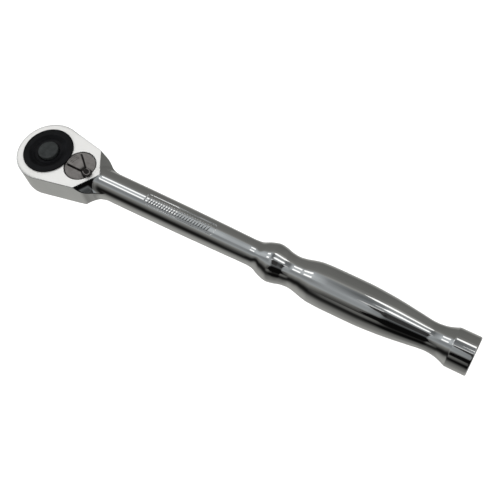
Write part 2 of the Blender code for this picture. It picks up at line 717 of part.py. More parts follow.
def make_plunger(finish):
    """Round-nosed plunger that presses the pawl from inside the spindle."""
    nose = 3.75 * MM
    rounding = 0.7 * MM
    profile = [(0.0, -nose)]
    for angle in (30.0, 60.0, 90.0):
        turn = math.radians(angle)
        height = -nose + rounding * (1 - math.cos(turn))
        profile.append((PLUNGER_RADIUS * math.sin(turn), height))
    profile += [
        (PLUNGER_RADIUS, -1.9 * MM), (0.55 * MM, -1.9 * MM), (0.55 * MM, -1.2 * MM),
        (0.0, -1.2 * MM),
    ]
    solid = turned(profile, 20, closed=False)
    bmesh.ops.transform(solid, matrix=plunger_aim(), verts=solid.verts)
    return make_object("detent_plunger", solid, finish, location=(LEVER_X, 0.0, PLUNGER_Z))


def make_plunger_spring(finish):
    solid = coil(0.88 * MM, 0.16 * MM, -1.52 * MM, 2.1 * MM, 5)
    bmesh.ops.transform(solid, matrix=plunger_aim(), verts=solid.verts)
    return make_object("plunger_spring", solid, finish, location=(LEVER_X, 0.0, PLUNGER_Z))


# ---------------------------------------------------------------- rings and seals

def make_seal(name, centre_radius, section, height, finish, location=(0.0, 0.0, 0.0)):
    profile = [
        (centre_radius + section * math.cos(math.radians(angle)),
         height + section * math.sin(math.radians(angle)))
        for angle in range(0, 360, 60)
    ]
    return make_object(name, turned(profile, 24), finish, location)


def make_flat_ring(name, inner, outer, low, high, finish, location=(0.0, 0.0, 0.0)):
    profile = [(inner, low), (outer, low), (outer, high), (inner, high)]
    return make_object(name, turned(profile, 36), finish, location)


def make_button_ring(finish):
    """Small internal snap ring that keeps the button's flange in the gear's neck."""
    outline = arc(5.3 * MM, 20.0, 340.0, 29) + arc(4.5 * MM, 340.0, 20.0, 25)
    solid = prism(outline, SNAP_GROOVE_BOTTOM + 0.05 * MM, SNAP_GROOVE_TOP - 0.05 * MM)
    return make_object("button_retaining_ring", solid, finish)


def make_retaining_ring(finish):
    """Internal snap ring with two eyelets that closes the head on the drive side."""
    outer = arc(10.1 * MM, 18.0, 342.0, 45)
    far_lug = [polar(7.4 * MM, 342.0), polar(7.4 * MM, 329.0), polar(8.35 * MM, 325.0)]
    inner = arc(8.4 * MM, 320.0, 40.0, 33)
    near_lug = [polar(8.35 * MM, 35.0), polar(7.4 * MM, 31.0), polar(7.4 * MM, 18.0)]
    solid = prism(outer + far_lug + inner + near_lug, RETAINER_BOTTOM, RETAINER_TOP)
    ring = make_object("retaining_ring", solid, finish)
    for label, angle in (("near", 25.0), ("far", -25.0)):
        x, y = polar(8.5 * MM, angle)
        below = (x, y, RETAINER_BOTTOM - 1.75 * MM)
        above = (x, y, RETAINER_TOP + 1.55 * MM)
        cut(ring, "eyelet_" + label, rod(EYELET_RADIUS, below, above, 16))
    return ring


# ---------------------------------------------------------------- assembly

def build():
    clear_scene()
    chrome = material("chrome", (0.62, 0.63, 0.64), 0.08, 1.0)
    gear_steel = material("gear_steel", (0.55, 0.56, 0.57), 0.22, 1.0)
    black_plastic = material("black_plastic", (0.012, 0.012, 0.016), 0.4, 0.0)
    button_plastic = material("button_plastic", (0.035, 0.038, 0.038), 0.45, 0.0)
    cast_steel = material("cast_steel", (0.2, 0.19, 0.185), 0.5, 0.8)
    dark_steel = material("dark_steel", (0.12, 0.12, 0.13), 0.35, 1.0)
    spring_steel = material("spring_steel", (0.5, 0.5, 0.5), 0.25, 1.0)
    seal_rubber = material("seal_rubber", (0.02, 0.02, 0.02), 0.7, 0.0)

    make_body(chrome)
    make_drive_gear(gear_steel)
    make_thumb_disc(black_plastic)
    make_release_button(button_plastic)
    make_release_stem(dark_steel)
    make_release_spring(spring_steel)
    make_detent_ball(spring_steel)
    make_reversing_lever(cast_steel)
    make_spindle_clip(dark_steel)
    make_plunger(dark_steel)
    make_plunger_spring(spring_steel)
    make_pawl(dark_steel)
    lever_place = (LEVER_X, 0.0, 0.0)
    make_seal("hub_seal", 6.22 * MM, 0.4 * MM, 20.25 * MM, seal_rubber)
    make_seal("spindle_seal", 2.92 * MM, 0.33 * MM, 19.9 * MM, seal_rubber, lever_place)
    make_seal("collar_seal", 6.58 * MM, 0.38 * MM, 13.05 * MM, seal_rubber)
    make_button_ring(spring_steel)
    make_flat_ring(
        "lever_washer", 3.5 * MM, 6.3 * MM, 20.6 * MM, 20.85 * MM, spring_steel, lever_place,
    )
    make_flat_ring("friction_washer", 6.9 * MM, 9.2 * MM, 19.0 * MM, 19.3 * MM, spring_steel)
    make_flat_ring("cover_washer", 7.05 * MM, 9.35 * MM, 12.65 * MM, 13.45 * MM, dark_steel)
    make_retaining_ring(dark_steel)


build()
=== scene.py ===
"""Ratchet wrench: the visual model over its jointed frame, and a plain studio.

Frame: the origin is the centre of the drive square's tip, +X runs along the handle and +Z
points out of the face with the thumb disc.  Shapes are worked out in millimetres, and are
scaled to metres when their meshes are made.
"""
import math

import bmesh
import bpy
import numpy as np
from mathutils import Matrix, Vector


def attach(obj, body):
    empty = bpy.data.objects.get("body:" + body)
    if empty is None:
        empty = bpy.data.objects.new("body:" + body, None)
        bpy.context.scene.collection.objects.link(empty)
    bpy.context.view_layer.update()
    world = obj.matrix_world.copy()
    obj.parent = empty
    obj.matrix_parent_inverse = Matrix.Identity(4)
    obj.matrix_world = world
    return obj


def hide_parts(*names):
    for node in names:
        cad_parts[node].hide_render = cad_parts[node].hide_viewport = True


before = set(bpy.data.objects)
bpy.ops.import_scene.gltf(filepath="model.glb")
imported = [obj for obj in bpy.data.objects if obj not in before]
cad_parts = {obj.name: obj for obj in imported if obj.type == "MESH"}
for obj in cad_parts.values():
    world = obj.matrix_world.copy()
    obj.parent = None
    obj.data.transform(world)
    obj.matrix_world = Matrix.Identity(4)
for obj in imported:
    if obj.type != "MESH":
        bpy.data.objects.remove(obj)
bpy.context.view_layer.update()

MM = 0.001
COARSE = 1.0

# Head, in millimetres
TOP = 23.0
BOTTOM = 11.0
NOSE_RADIUS = 13.9
SHOULDER = (20.3, 10.1)
APEX = 26.6
LOWER_SHOULDER = (22.4, 9.9)
LOWER_APEX = 28.4
RIM_WIDTH = 1.0  # bevel round the top face, full at the nose
RIM_SLOPE = 0.42
RIM_FADE = 20.0  # distance along X over which the bevel narrows
DIVE_START = 27.0  # past here the head's faces sink into the shank
DIVE_SLOPE = 0.5
SCOOP_RADIUS = 8.0
SCOOP_RISE = 3.6
SHOULDER_CURVE = (
    (20.3, 10.1), (21.9, 9.80), (23.4, 9.35), (24.8, 8.65), (26.0, 7.85), (27.2, 7.0),
    (28.6, 6.15), (30.2, 5.2), (33.1, 2.8), (40.0, 1.0),
)

# Bores and grooves in the head
GEAR_BORE = 9.5
GEAR_BORE_TOP = 19.4
RING_GROOVE = (10.3, 11.65, 12.55)  # radius, bottom and top
HUB_BORE = 6.75
LEVER_RECESS = 6.8
LEVER_RECESS_FLOOR = 20.5
SPINDLE_BORE = 3.35

# Handle: distance along X and radius
AXIS_Z = TOP - 5.83
HANDLE_START = 22.0
POMMEL_END = 186.0
POMMEL_RADIUS = 7.33
HANDLE_CURVE = (
    (24.2, 5.6), (28.4, 5.9), (34.0, 5.9), (62.0, 5.76), (86.0, 5.38), (97.5, 5.17), (100.0, 5.38),
    (104.0, 6.95), (107.3, 7.68), (110.0, 7.25), (113.0, 6.47), (115.8, 6.21), (119.0, 6.67),
    (122.0, 7.43), (125.0, 7.97), (131.0, 8.19), (143.0, 8.12), (152.0, 7.6), (158.0, 6.98),
    (164.0, 6.19), (170.5, 5.45), (173.5, 5.72), (177.0, 6.78), (179.4, 7.9), (181.6, 8.4),
    (185.3, 8.6), (188.0, 8.6),
)

# Panel in the top of the shank
PANEL_START = 50.0
PANEL_END = 82.0
PANEL_TURN = -5.0
PANEL_HALF_WIDTH = 2.3
PANEL_DEPTH = 0.3
PANEL_CORNER = 0.9
RIB_PITCH = 1.2
RIB_MARGIN = 1.84  # from the panel's end to the first rib's middle
RIB_HALF_WIDTH = 0.34
RIB_SLANT = 0.5
RIB_GAP = 0.55  # between a rib's end and the panel's edge

# Lever
LEVER_X = 16.6
LEVER_REST = -20.0
LEVER_TOP = TOP - 0.1
LEVER_BOTTOM = TOP - 2.05
LEVER_RADIUS = 6.5
MOAT_WIDTH = 0.52
MOAT_DEPTH = 0.6
GRIP_GROOVES = (-4.9, -4.0, -3.1)
SPINDLE_RADIUS = 3.2
JOURNAL_RADIUS = 1.95
JOURNAL_BOTTOM = 12.6
SPINDLE_BOTTOM = 13.8
CLIP_GROOVE = (2.6, 18.6, 19.15)
SEAL_GROOVE = (2.5, 19.5, 20.3)
PLUNGER_BORE = 1.25
PLUNGER_Z = 16.3

# Thumb disc and button
DISC_UNDERSIDE = TOP + 0.15
DISC_RIM = TOP + 0.7
DISC_RADIUS = 10.71
BUTTON_RADIUS = 4.3
FLANGE_RADIUS = 4.85
FLANGE_BOTTOM = 20.6
FLANGE_TOP = 21.25

# Gear and drive square
TEETH = 36
TOOTH_ROOT = 8.5
TOOTH_HEIGHT = 0.7
GEAR_BOTTOM = 13.6
GEAR_TOP = 18.9
HUB_RADIUS = 6.6
HUB_TOP = 21.2
HUB_GROOVE = (5.75, 19.75, 20.75)
NECK_RADIUS = 5.9
NECK_TOP = 22.0
COLLAR_RADIUS = 6.9
COLLAR_BOTTOM = 10.7
COLLAR_GROOVE = (6.15, 12.6, 13.5)
SQUARE_SIDE = 9.525
SQUARE_TAPER = 0.65
STEM_BORE = (2.05, 2.0, 15.0)
SPRING_BORE = (3.3, 14.5, 19.0)
BUTTON_BORE = (5.05, 18.5, 24.0)
BALL_Z = 5.2
BALL_BORE = 1.62


# ---------------------------------------------------------------- fields and curves

def hermite_table(stations, step=0.05, soften=0.6):
    """Fine table of a monotone curve through the stations, softened so that its bends flow."""
    places, values = (np.array(column, float) for column in zip(*stations))
    rises = np.diff(values) / np.diff(places)
    slopes = np.empty_like(values)
    slopes[0], slopes[-1] = rises[0], rises[-1]
    product = rises[:-1] * rises[1:]
    total = rises[:-1] + rises[1:]
    slopes[1:-1] = np.where(product > 0, 2 * product / np.where(total == 0, 1, total), 0.0)
    fine = np.arange(places[0], places[-1] + step / 2, step)
    index = np.clip(np.searchsorted(places, fine, side="right") - 1, 0, len(rises) - 1)
    span = places[index + 1] - places[index]
    t = (fine - places[index]) / span
    curve = (
        values[index] * (1 + 2 * t) * (1 - t) ** 2
        + span * slopes[index] * t * (1 - t) ** 2
        + values[index + 1] * t * t * (3 - 2 * t)
        + span * slopes[index + 1] * t * t * (t - 1)
    )
    reach = int(3 * soften / step)
    window = np.exp(-0.5 * (np.arange(-reach, reach + 1) * step / soften) ** 2)
    window /= window.sum()
    before = curve[0] - slopes[0] * step * np.arange(reach, 0, -1)
    after = curve[-1] + slopes[-1] * step * np.arange(1, reach + 1)
    smooth = np.convolve(np.concatenate([before, curve, after]), window, mode="valid")
    return fine, smooth, np.gradient(smooth, step)


HANDLE = hermite_table(HANDLE_CURVE, soften=0.4)
SIDE = hermite_table(SHOULDER_CURVE, soften=0.25)


def look_up(table, x):
    return np.interp(x, table[0], table[1]), np.interp(x, table[0], table[2])


def smooth_max(a, b, blend):
    mix = np.clip(0.5 - 0.5 * (b - a) / blend, 0.0, 1.0)
    return b + (a - b) * mix + blend * mix * (1 - mix)


def smooth_min(a, b, blend):
    return -smooth_max(-a, -b, blend)


def round_max(a, b, radius):
    """Intersection of two solids with its outer edge rounded."""
    outer = np.hypot(np.maximum(a + radius, 0), np.maximum(b + radius, 0))
    return outer + np.minimum(np.maximum(a + radius, b + radius), 0) - radius


def slab(z, low, high):
    return np.abs(z - (low + high) / 2) - (high - low) / 2


def drum(x, y, z, radius, low, high, centre=0.0):
    """Plain cylinder standing on Z."""
    return np.maximum(np.hypot(x - centre, y) - radius, slab(z, low, high))


def groove(z, reach, size):
    """Ring cut in from outside: everything past a radius between two heights."""
    radius, low, high = size
    return np.maximum(radius - reach, slab(z, low, high))


def polygon_field(x, y, corners):
    """Signed distance to a closed outline, negative inside."""
    corners = np.array(corners, float)
    best = np.full(np.broadcast(x, y).shape, 1e9)
    inside = np.zeros(best.shape, bool)
    for start, end in zip(corners, np.roll(corners, -1, axis=0)):
        edge = end - start
        dx = x - start[0]
        dy = y - start[1]
        along = np.clip((dx * edge[0] + dy * edge[1]) / (edge @ edge), 0.0, 1.0)
        best = np.minimum(best, np.hypot(dx - along * edge[0], dy - along * edge[1]))
        crossing = (start[1] > y) != (end[1] > y)
        rise = edge[1] if edge[1] else 1.0
        inside ^= crossing & (x < start[0] + edge[0] * (y - start[1]) / rise)
    return np.where(inside, -best, best)


# ---------------------------------------------------------------- meshes

def surface_net(field, xs, ys, zs, rounds=4):
    """Quads on the zero level of a field, one vertex in each grid cell that it crosses."""
    axes = [np.asarray(axis, float) for axis in (xs, ys, zs)]
    shape = tuple(len(axis) for axis in axes)
    level = np.broadcast_to(
        field(axes[0][:, None, None], axes[1][None, :, None], axes[2][None, None, :]), shape
    )
    inside = level < 0
    count = np.zeros([n - 1 for n in shape], np.int8)
    for i in (0, 1):
        for j in (0, 1):
            for k in (0, 1):
                count += inside[i:shape[0] - 1 + i, j:shape[1] - 1 + j, k:shape[2] - 1 + k]
    active = (count > 0) & (count < 8)
    ids = np.full(active.shape, -1, np.int64)
    ids[active] = np.arange(active.sum())
    cells = np.array(np.nonzero(active))
    total = np.zeros((cells.shape[1], 3))
    hits = np.zeros(cells.shape[1])
    for axis in range(3):
        others = [(axis + 1) % 3, (axis + 2) % 3]
        for a in (0, 1):
            for b in (0, 1):
                near = cells.copy()
                near[others[0]] += a
                near[others[1]] += b
                far = near.copy()
                far[axis] += 1
                first = level[tuple(near)]
                second = level[tuple(far)]
                crossed = (first < 0) != (second < 0)
                part = np.where(crossed, first / np.where(crossed, first - second, 1.0), 0.0)
                for n in range(3):
                    start = axes[n][near[n]]
                    total[:, n] += crossed * (start + part * (axes[n][far[n]] - start))
                hits += crossed
    points = total / hits[:, None]
    faces = []
    for axis in range(3):
        second, third = (axis + 1) % 3, (axis + 2) % 3
        low = [slice(1, -1)] * 3
        high = [slice(1, -1)] * 3
        low[axis] = slice(0, -1)
        high[axis] = slice(1, None)
        lower = inside[tuple(low)]
        upper = inside[tuple(high)]
        where = np.array(np.nonzero(lower != upper))
        outward = lower[tuple(where)]
        where[second] += 1
        where[third] += 1
        ring = []
        for a, b in ((-1, -1), (0, -1), (0, 0), (-1, 0)):
            cell = where.copy()
            cell[second] += a
            cell[third] += b
            ring.append(ids[tuple(cell)])
        quad = np.stack(ring, 1)
        faces.append(np.where(outward[:, None], quad, quad[:, ::-1]))
    faces = np.concatenate(faces)
    stride = min(np.diff(axis).min() for axis in axes)
    for _ in range(rounds):
        value = field(points[:, 0], points[:, 1], points[:, 2])
        slope = field_slope(field, points)
        size = np.maximum((slope ** 2).sum(1), 0.25)
        move = np.clip(value / size, -0.35 * stride, 0.35 * stride)
        points = points - slope * move[:, None]
    slope = field_slope(field, points)
    return points, faces, slope / np.linalg.norm(slope, axis=1)[:, None]


def field_slope(field, points, reach=0.02):
    columns = []
    for n in range(3):
        ahead = points.copy()
        behind = points.copy()
        ahead[:, n] += reach
        behind[:, n] -= reach
        columns.append(field(*ahead.T) - field(*behind.T))
    return np.stack(columns, 1) / (2 * reach)


def make_piece(name, points, faces, normals, finish, body, slot, replaced=()):
    """A smooth shaded mesh object, from points in millimetres, that rides on a body."""
    faces = [np.asarray(face) for face in faces]
    mesh = bpy.data.meshes.new(name)
    mesh.vertices.add(len(points))
    mesh.vertices.foreach_set("co", (np.asarray(points) * MM).astype(np.float32).ravel())
    sizes = np.array([len(face) for face in faces])
    mesh.loops.add(int(sizes.sum()))
    mesh.loops.foreach_set("vertex_index", np.concatenate(faces).astype(np.int32))
    mesh.polygons.add(len(faces))
    mesh.polygons.foreach_set("loop_start", (np.cumsum(sizes) - sizes).astype(np.int32))
    mesh.update(calc_edges=True)
    mesh.polygons.foreach_set("use_smooth", np.ones(len(faces), bool))
    if normals is not None:
        mesh.normals_split_custom_set_from_vertices(np.asarray(normals, float).tolist())
    mesh.materials.append(finish)
    piece = bpy.data.objects.new(name, mesh)
    bpy.context.scene.collection.objects.link(piece)
    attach(piece, body)
    if replaced:
        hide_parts(*replaced)
    return piece


def rounded_profile(corners, closed, steps=5):
    """Points and outward normals of a lathe profile.

    Each corner is (radius, height, fillet).  The profile runs anticlockwise with radius to
    the right: out along the underside, up the outside and back in over the top.
    """
    corners = [(np.array(corner[:2], float), corner[2]) for corner in corners]
    points = []
    normals = []
    count = len(corners)
    for index, (here, fillet) in enumerate(corners):
        ends = not closed and index in (0, count - 1)
        before = here - corners[index - 1][0]
        after = corners[(index + 1) % count][0] - here
        if ends:
            run = after if index == 0 else before
            run = run / np.linalg.norm(run)
            points.append(here)
            normals.append(np.array((0.0, np.sign(-run[0]) or 1.0)))
            continue
        reach = min(np.linalg.norm(before), np.linalg.norm(after)) * 0.49
        before = before / np.linalg.norm(before)
        after = after / np.linalg.norm(after)
        turn = math.atan2(before[0] * after[1] - before[1] * after[0], before @ after)
        side = 1.0 if turn > 0 else -1.0
        radius = min(fillet, reach / math.tan(abs(turn) / 2))
        first = np.array((before[1], -before[0]))
        tangent = here - before * radius * math.tan(abs(turn) / 2)
        centre = tangent - first * radius * side
        for step in range(steps + 1):
            angle = turn * step / steps
            normal = np.array((
                first[0] * math.cos(angle) - first[1] * math.sin(angle),
                first[0] * math.sin(angle) + first[1] * math.cos(angle),
            ))
            points.append(centre + normal * radius * side)
            normals.append(normal)
    return points, normals


def lathe(corners, closed=False, segments=128, centre=(0.0, 0.0)):
    """Turn a rounded profile about a vertical axis: points, faces and normals."""
    profile, profile_normals = rounded_profile(corners, closed)
    angles = np.linspace(0, 2 * math.pi, segments, endpoint=False)
    points = []
    normals = []
    rows = []
    for (radius, height), (out, up) in zip(profile, profile_normals):
        turns = [0.0] if radius < 1e-6 else angles
        rows.append(list(range(len(points), len(points) + len(turns))))
        for angle in turns:
            across = math.cos(angle)
            along = math.sin(angle)
            points.append((centre[0] + radius * across, centre[1] + radius * along, height))
            normals.append((out * across, out * along, up))
    faces = []
    pairs = list(zip(rows, rows[1:]))
    if closed:
        pairs.append((rows[-1], rows[0]))
    for lower, upper in pairs:
        for step in range(segments):
            after = (step + 1) % segments
            if len(lower) == 1:
                faces.append((lower[0], upper[after], upper[step]))
            elif len(upper) == 1:
                faces.append((lower[step], lower[after], upper[0]))
            else:
                faces.append((lower[step], lower[after], upper[after], upper[step]))
    return np.array(points), faces, np.array(normals)


# ---------------------------------------------------------------- materials

def start_material(name):
    made = bpy.data.materials.new(name)
    made.use_nodes = True
    tree = made.node_tree
    return made, tree, tree.nodes["Principled BSDF"]


def node(tree, kind, **settings):
    made = tree.nodes.new(kind)
    for key, value in settings.items():
        setattr(made, key, value)
    return made


def speckle(tree, scale, detail=4.0, roughness=0.6, stretch=None):
    """Noise over the object's own coordinates, drawn out along an axis by stretch."""
    where = node(tree, "ShaderNodeTexCoord")
    source = where.outputs["Object"]
    if stretch:
        mapping = node(tree, "ShaderNodeMapping")
        mapping.inputs["Scale"].default_value = stretch
        tree.links.new(source, mapping.inputs["Vector"])
        source = mapping.outputs["Vector"]
    made = node(tree, "ShaderNodeTexNoise")
    made.inputs["Scale"].default_value = scale
    made.inputs["Detail"].default_value = detail
    made.inputs["Roughness"].default_value = roughness
    tree.links.new(source, made.inputs["Vector"])
    return made.outputs["Fac"]


def spread(tree, source, low, high, start=0.3, end=0.7):
    """Noise, mostly between start and end, spread to a range of values."""
    made = node(tree, "ShaderNodeMapRange")
    made.inputs["From Min"].default_value = start
    made.inputs["From Max"].default_value = end
    made.inputs["To Min"].default_value = low
    made.inputs["To Max"].default_value = high
    tree.links.new(source, made.inputs["Value"])
    return made.outputs["Result"]


def blend_colour(tree, factor, first, second):
    made = node(tree, "ShaderNodeMix", data_type="RGBA")
    for socket, value in ((made.inputs[6], first), (made.inputs[7], second)):
        if isinstance(value, tuple):
            socket.default_value = (*value, 1.0)
        else:
            tree.links.new(value, socket)
    tree.links.new(factor, made.inputs[0])
    return made.outputs[2]


def blend_value(tree, factor, first, second):
    made = node(tree, "ShaderNodeMix", data_type="FLOAT")
    for socket, value in ((made.inputs[2], first), (made.inputs[3], second)):
        if isinstance(value, (int, float)):
            socket.default_value = value
        else:
            tree.links.new(value, socket)
    tree.links.new(factor, made.inputs[0])
    return made.outputs[0]


def bump(tree, shader, height, distance, strength=1.0, under=None):
    made = node(tree, "ShaderNodeBump")
    made.inputs["Strength"].default_value = strength
    made.inputs["Distance"].default_value = distance
    tree.links.new(height, made.inputs["Height"])
    if under is not None:
        tree.links.new(under, made.inputs["Normal"])
    tree.links.new(made.outputs["Normal"], shader.inputs["Normal"])
    return made.outputs["Normal"]


def plain_finish(name, dark, light, roughness, metallic, grain, relief, patch=300.0, specular=0.5):
    """Material with mottled colour, uneven gloss and a fine grain of the given height."""
    made, tree, shader = start_material(name)
    cloud = speckle(tree, patch, 3.0)
    fine = speckle(tree, grain, 5.0, 0.65)
    tree.links.new(mottle(tree, cloud, dark, light), shader.inputs["Base Color"])
    tree.links.new(spread(tree, fine, roughness[0], roughness[1]), shader.inputs["Roughness"])
    shader.inputs["Metallic"].default_value = metallic
    shader.inputs["Specular IOR Level"].default_value = specular
    bump(tree, shader, fine, relief)
    return made


def mottle(tree, noise, dark, light):
    """Colour that wanders between two values with the noise."""
    return blend_colour(tree, spread(tree, noise, 0.0, 1.0), dark, light)


def chrome_finish():
    """Polished chrome plate, and the satin of the head's ground face where the mark says so."""
    made, tree, shader = start_material("chrome_plate")
    mark = node(tree, "ShaderNodeAttribute", attribute_name="satin")
    mask = mark.outputs["Fac"]
    smudge = speckle(tree, 130.0, 5.0, 0.7)
    hairline = speckle(tree, 900.0, 3.0, 0.5, (0.12, 1.0, 1.0))
    blast = speckle(tree, 4200.0, 2.0, 0.5)
    cloud = speckle(tree, 55.0, 3.0)
    polished = mottle(tree, cloud, (0.76, 0.765, 0.76), (0.83, 0.83, 0.82))
    satin = mottle(tree, cloud, (0.66, 0.655, 0.64), (0.72, 0.715, 0.70))
    tree.links.new(blend_colour(tree, mask, polished, satin), shader.inputs["Base Color"])
    gloss = spread(tree, smudge, 0.02, 0.065)
    dull = spread(tree, blast, 0.34, 0.46)
    tree.links.new(blend_value(tree, mask, gloss, dull), shader.inputs["Roughness"])
    tree.links.new(blend_value(tree, mask, 1.0, 0.35), shader.inputs["Metallic"])
    scratched = bump(tree, shader, blend_value(tree, mask, hairline, blast), 0.000002)
    swell = speckle(tree, 60.0, 1.0, 0.4)
    bump(tree, shader, swell, 0.00002, 1.0, scratched)
    return made


def lever_finish():
    """Matte grey casting, with painted shade along the grip's edges and over its tab where the mark says
    so.
    """
    made, tree, shader = start_material("cast_lever_steel")
    # The mark is painted shade: dark along the grip's edges and over its tab, lighter in a painted
    # highlight ring on the tab.
    mark = node(tree, "ShaderNodeAttribute", attribute_name="painted_shade")
    painted_shade = mark.outputs["Fac"]
    cloud = speckle(tree, 520.0, 4.0)
    fine = speckle(tree, 1900.0, 5.0, 0.65)
    bright = mottle(tree, cloud, (0.150, 0.140, 0.134), (0.215, 0.203, 0.195))
    # Near-black colour of the painted shade.
    shade_colour = mottle(tree, fine, (0.0035, 0.003, 0.003), (0.014, 0.012, 0.0115))
    tree.links.new(blend_colour(tree, painted_shade, bright, shade_colour), shader.inputs["Base Color"])
    matte = spread(tree, fine, 0.42, 0.60)
    slick = spread(tree, cloud, 0.16, 0.26)
    tree.links.new(blend_value(tree, painted_shade, matte, slick), shader.inputs["Roughness"])
    tree.links.new(blend_value(tree, painted_shade, 0.55, 0.0), shader.inputs["Metallic"])
    tree.links.new(blend_value(tree, painted_shade, 0.5, 0.16), shader.inputs["Specular IOR Level"])
    bump(tree, shader, fine, 0.000014)
    return made


CHROME = chrome_finish()
GEAR_STEEL = plain_finish(
    "satin_gear_steel", (0.47, 0.475, 0.48), (0.60, 0.60, 0.60), (0.20, 0.34), 1.0, 1500.0, 0.000006,
)
BLACK_PLASTIC = plain_finish(
    "black_plastic_moulded", (0.0008, 0.0009, 0.0014), (0.0020, 0.0021, 0.0032), (0.30, 0.42), 0.0,
    2600.0, 0.000004, specular=0.17,
)
BUTTON_PLASTIC = plain_finish(
    "button_plastic_matte", (0.013, 0.0155, 0.0155), (0.023, 0.026, 0.026), (0.48, 0.66), 0.0,
    2200.0, 0.000008, 500.0, specular=0.3,
)
CAST_STEEL = lever_finish()
DARK_STEEL = plain_finish(
    "phosphated_steel", (0.055, 0.055, 0.058), (0.11, 0.11, 0.115), (0.34, 0.5), 0.9, 1800.0, 0.000006,
)
SPRING_STEEL = plain_finish(
    "bright_spring_steel", (0.46, 0.46, 0.455), (0.6, 0.6, 0.59), (0.16, 0.3), 1.0, 1600.0, 0.000004,
)
SEAL_RUBBER = plain_finish(
    "seal_rubber_matte", (0.012, 0.012, 0.012), (0.022, 0.022, 0.022), (0.6, 0.8), 0.0, 2500.0, 0.00001,
)


# ---------------------------------------------------------------- body forging

def scoop_field(x, side, z, corner, apex, face, upward):
    """Inside, positive: the cylinder that hollows both shoulders out from a face's V edge."""
    along = np.array((apex - corner[0], -corner[1]))
    along /= np.linalg.norm(along)
    outward = (x - apex) * -along[1] + side * along[0]
    offset = math.sqrt(SCOOP_RADIUS ** 2 - SCOOP_RISE ** 2)
    return SCOOP_RADIUS - np.hypot(outward - offset, z - (face + SCOOP_RISE * upward))


def head_field(x, y, z):
    """Teardrop head with rounded rims and hollowed shoulders."""
    side = np.abs(y)
    lean = math.atan2(NOSE_RADIUS - SHOULDER[1], SHOULDER[0]) + math.radians(0.57)
    out = (math.sin(lean), math.cos(lean))
    past = x * out[1] - side * out[0]
    nose = np.hypot(x, y) - NOSE_RADIUS
    cheek = x * out[0] + side * out[1] - NOSE_RADIUS
    width, slope = look_up(SIDE, x)
    shoulder = (side - width) / np.sqrt(1 + slope ** 2)
    plan = np.where(past < 0, nose, np.where(x < SHOULDER[0], cheek, shoulder))
    fade = np.clip(1 - x / RIM_FADE, 0.25, 1.0)
    dive = np.maximum(x - DIVE_START, 0) * DIVE_SLOPE
    bevel = (plan + RIM_WIDTH * fade) * RIM_SLOPE + (z - TOP)
    head = round_max(plan, z - TOP + dive, 0.25)
    head = smooth_max(head, bevel * 0.9, 0.15)
    head = round_max(head, BOTTOM - z + dive, 0.22)
    head = np.maximum(head, x - 36.0)
    upper = scoop_field(x, side, z, SHOULDER, APEX, TOP, 1)
    lower = scoop_field(x, side, z, LOWER_SHOULDER, LOWER_APEX, BOTTOM, -1)
    head = smooth_max(head, upper, 0.3)
    return smooth_max(head, lower, 0.3)


def handle_field(x, y, z):
    """Round handle with its waists, swell and pommel."""
    radius, slope = look_up(HANDLE, x)
    shell = (np.hypot(y, z - AXIS_Z) - radius) / np.sqrt(1 + slope ** 2)
    pommel = np.hypot(y, z - AXIS_Z) - POMMEL_RADIUS
    shell = np.where(x > 172, smooth_max(shell, pommel, 0.08), shell)
    shell = round_max(shell, x - POMMEL_END, 0.55)
    return round_max(shell, HANDLE_START - x, 3.0)


def panel_cut(x, y, z):
    """Inside, positive: the shallow panel with rounded ends along the shank's top."""
    reach = np.hypot(y, z - AXIS_Z)
    radius, _ = look_up(HANDLE, x)
    turn = np.arctan2(y, z - AXIS_Z) - math.radians(PANEL_TURN)
    middle = (PANEL_START + PANEL_END) / 2
    across = np.abs(turn) * radius - (PANEL_HALF_WIDTH - PANEL_CORNER)
    along = np.abs(x - middle) - ((PANEL_END - PANEL_START) / 2 - PANEL_CORNER)
    plan = np.hypot(np.maximum(across, 0), np.maximum(along, 0)) - PANEL_CORNER
    plan = plan + np.minimum(np.maximum(across, along), 0)
    return -smooth_max(plan, radius - PANEL_DEPTH - reach, 0.12)


def forging_field(x, y, z):
    """Head and handle blended together, with the panel, bores and recess taken away."""
    body = smooth_min(head_field(x, y, z), handle_field(x, y, z), 1.6)
    body = smooth_max(body, panel_cut(x, y, z), 0.12)
    above = TOP + 1.0
    below = BOTTOM - 1.0
    body = smooth_max(body, -drum(x, y, z, GEAR_BORE, below, GEAR_BORE_TOP), 0.25)
    body = np.maximum(body, -drum(x, y, z, *RING_GROOVE))
    body = smooth_max(body, -drum(x, y, z, HUB_BORE, 18.0, above), 0.25)
    recess = drum(x, y, z, LEVER_RECESS, LEVER_RECESS_FLOOR, above, LEVER_X)
    body = smooth_max(body, -recess, 0.22)
    return np.maximum(body, -drum(x, y, z, SPINDLE_BORE, 14.0, 21.0, LEVER_X))


def make_forging():
    """The forging, with its ground top face marked as satin."""
    cell = 0.25 * COARSE
    xs = np.concatenate([
        np.arange(-14.5, 88.0, cell), np.arange(88.0, 187.0, 0.45 * COARSE),
    ])
    ys = np.arange(-14.3, 14.31, cell) + 0.01
    zs = np.arange(8.4, 25.9, cell) + 0.013
    points, faces, normals = surface_net(forging_field, xs, ys, zs)
    piece = make_piece("wrench_forging", points, faces, normals, CHROME, "handle", "chrome",
                       ("handle_forging",))
    flat = np.clip((normals[:, 2] - 0.885) / 0.06, 0, 1)
    level = np.clip((points[:, 2] - (TOP - 0.60)) / 0.06, 0, 1)
    along = np.array((APEX - SHOULDER[0], -SHOULDER[1]))
    along /= np.linalg.norm(along)
    outward = (points[:, 0] - APEX) * -along[1] + np.abs(points[:, 1]) * along[0]
    mark = piece.data.attributes.new("satin", "FLOAT", "POINT")
    mark.data.foreach_set("value", (flat * level * (outward < 0.15)).astype(np.float32))


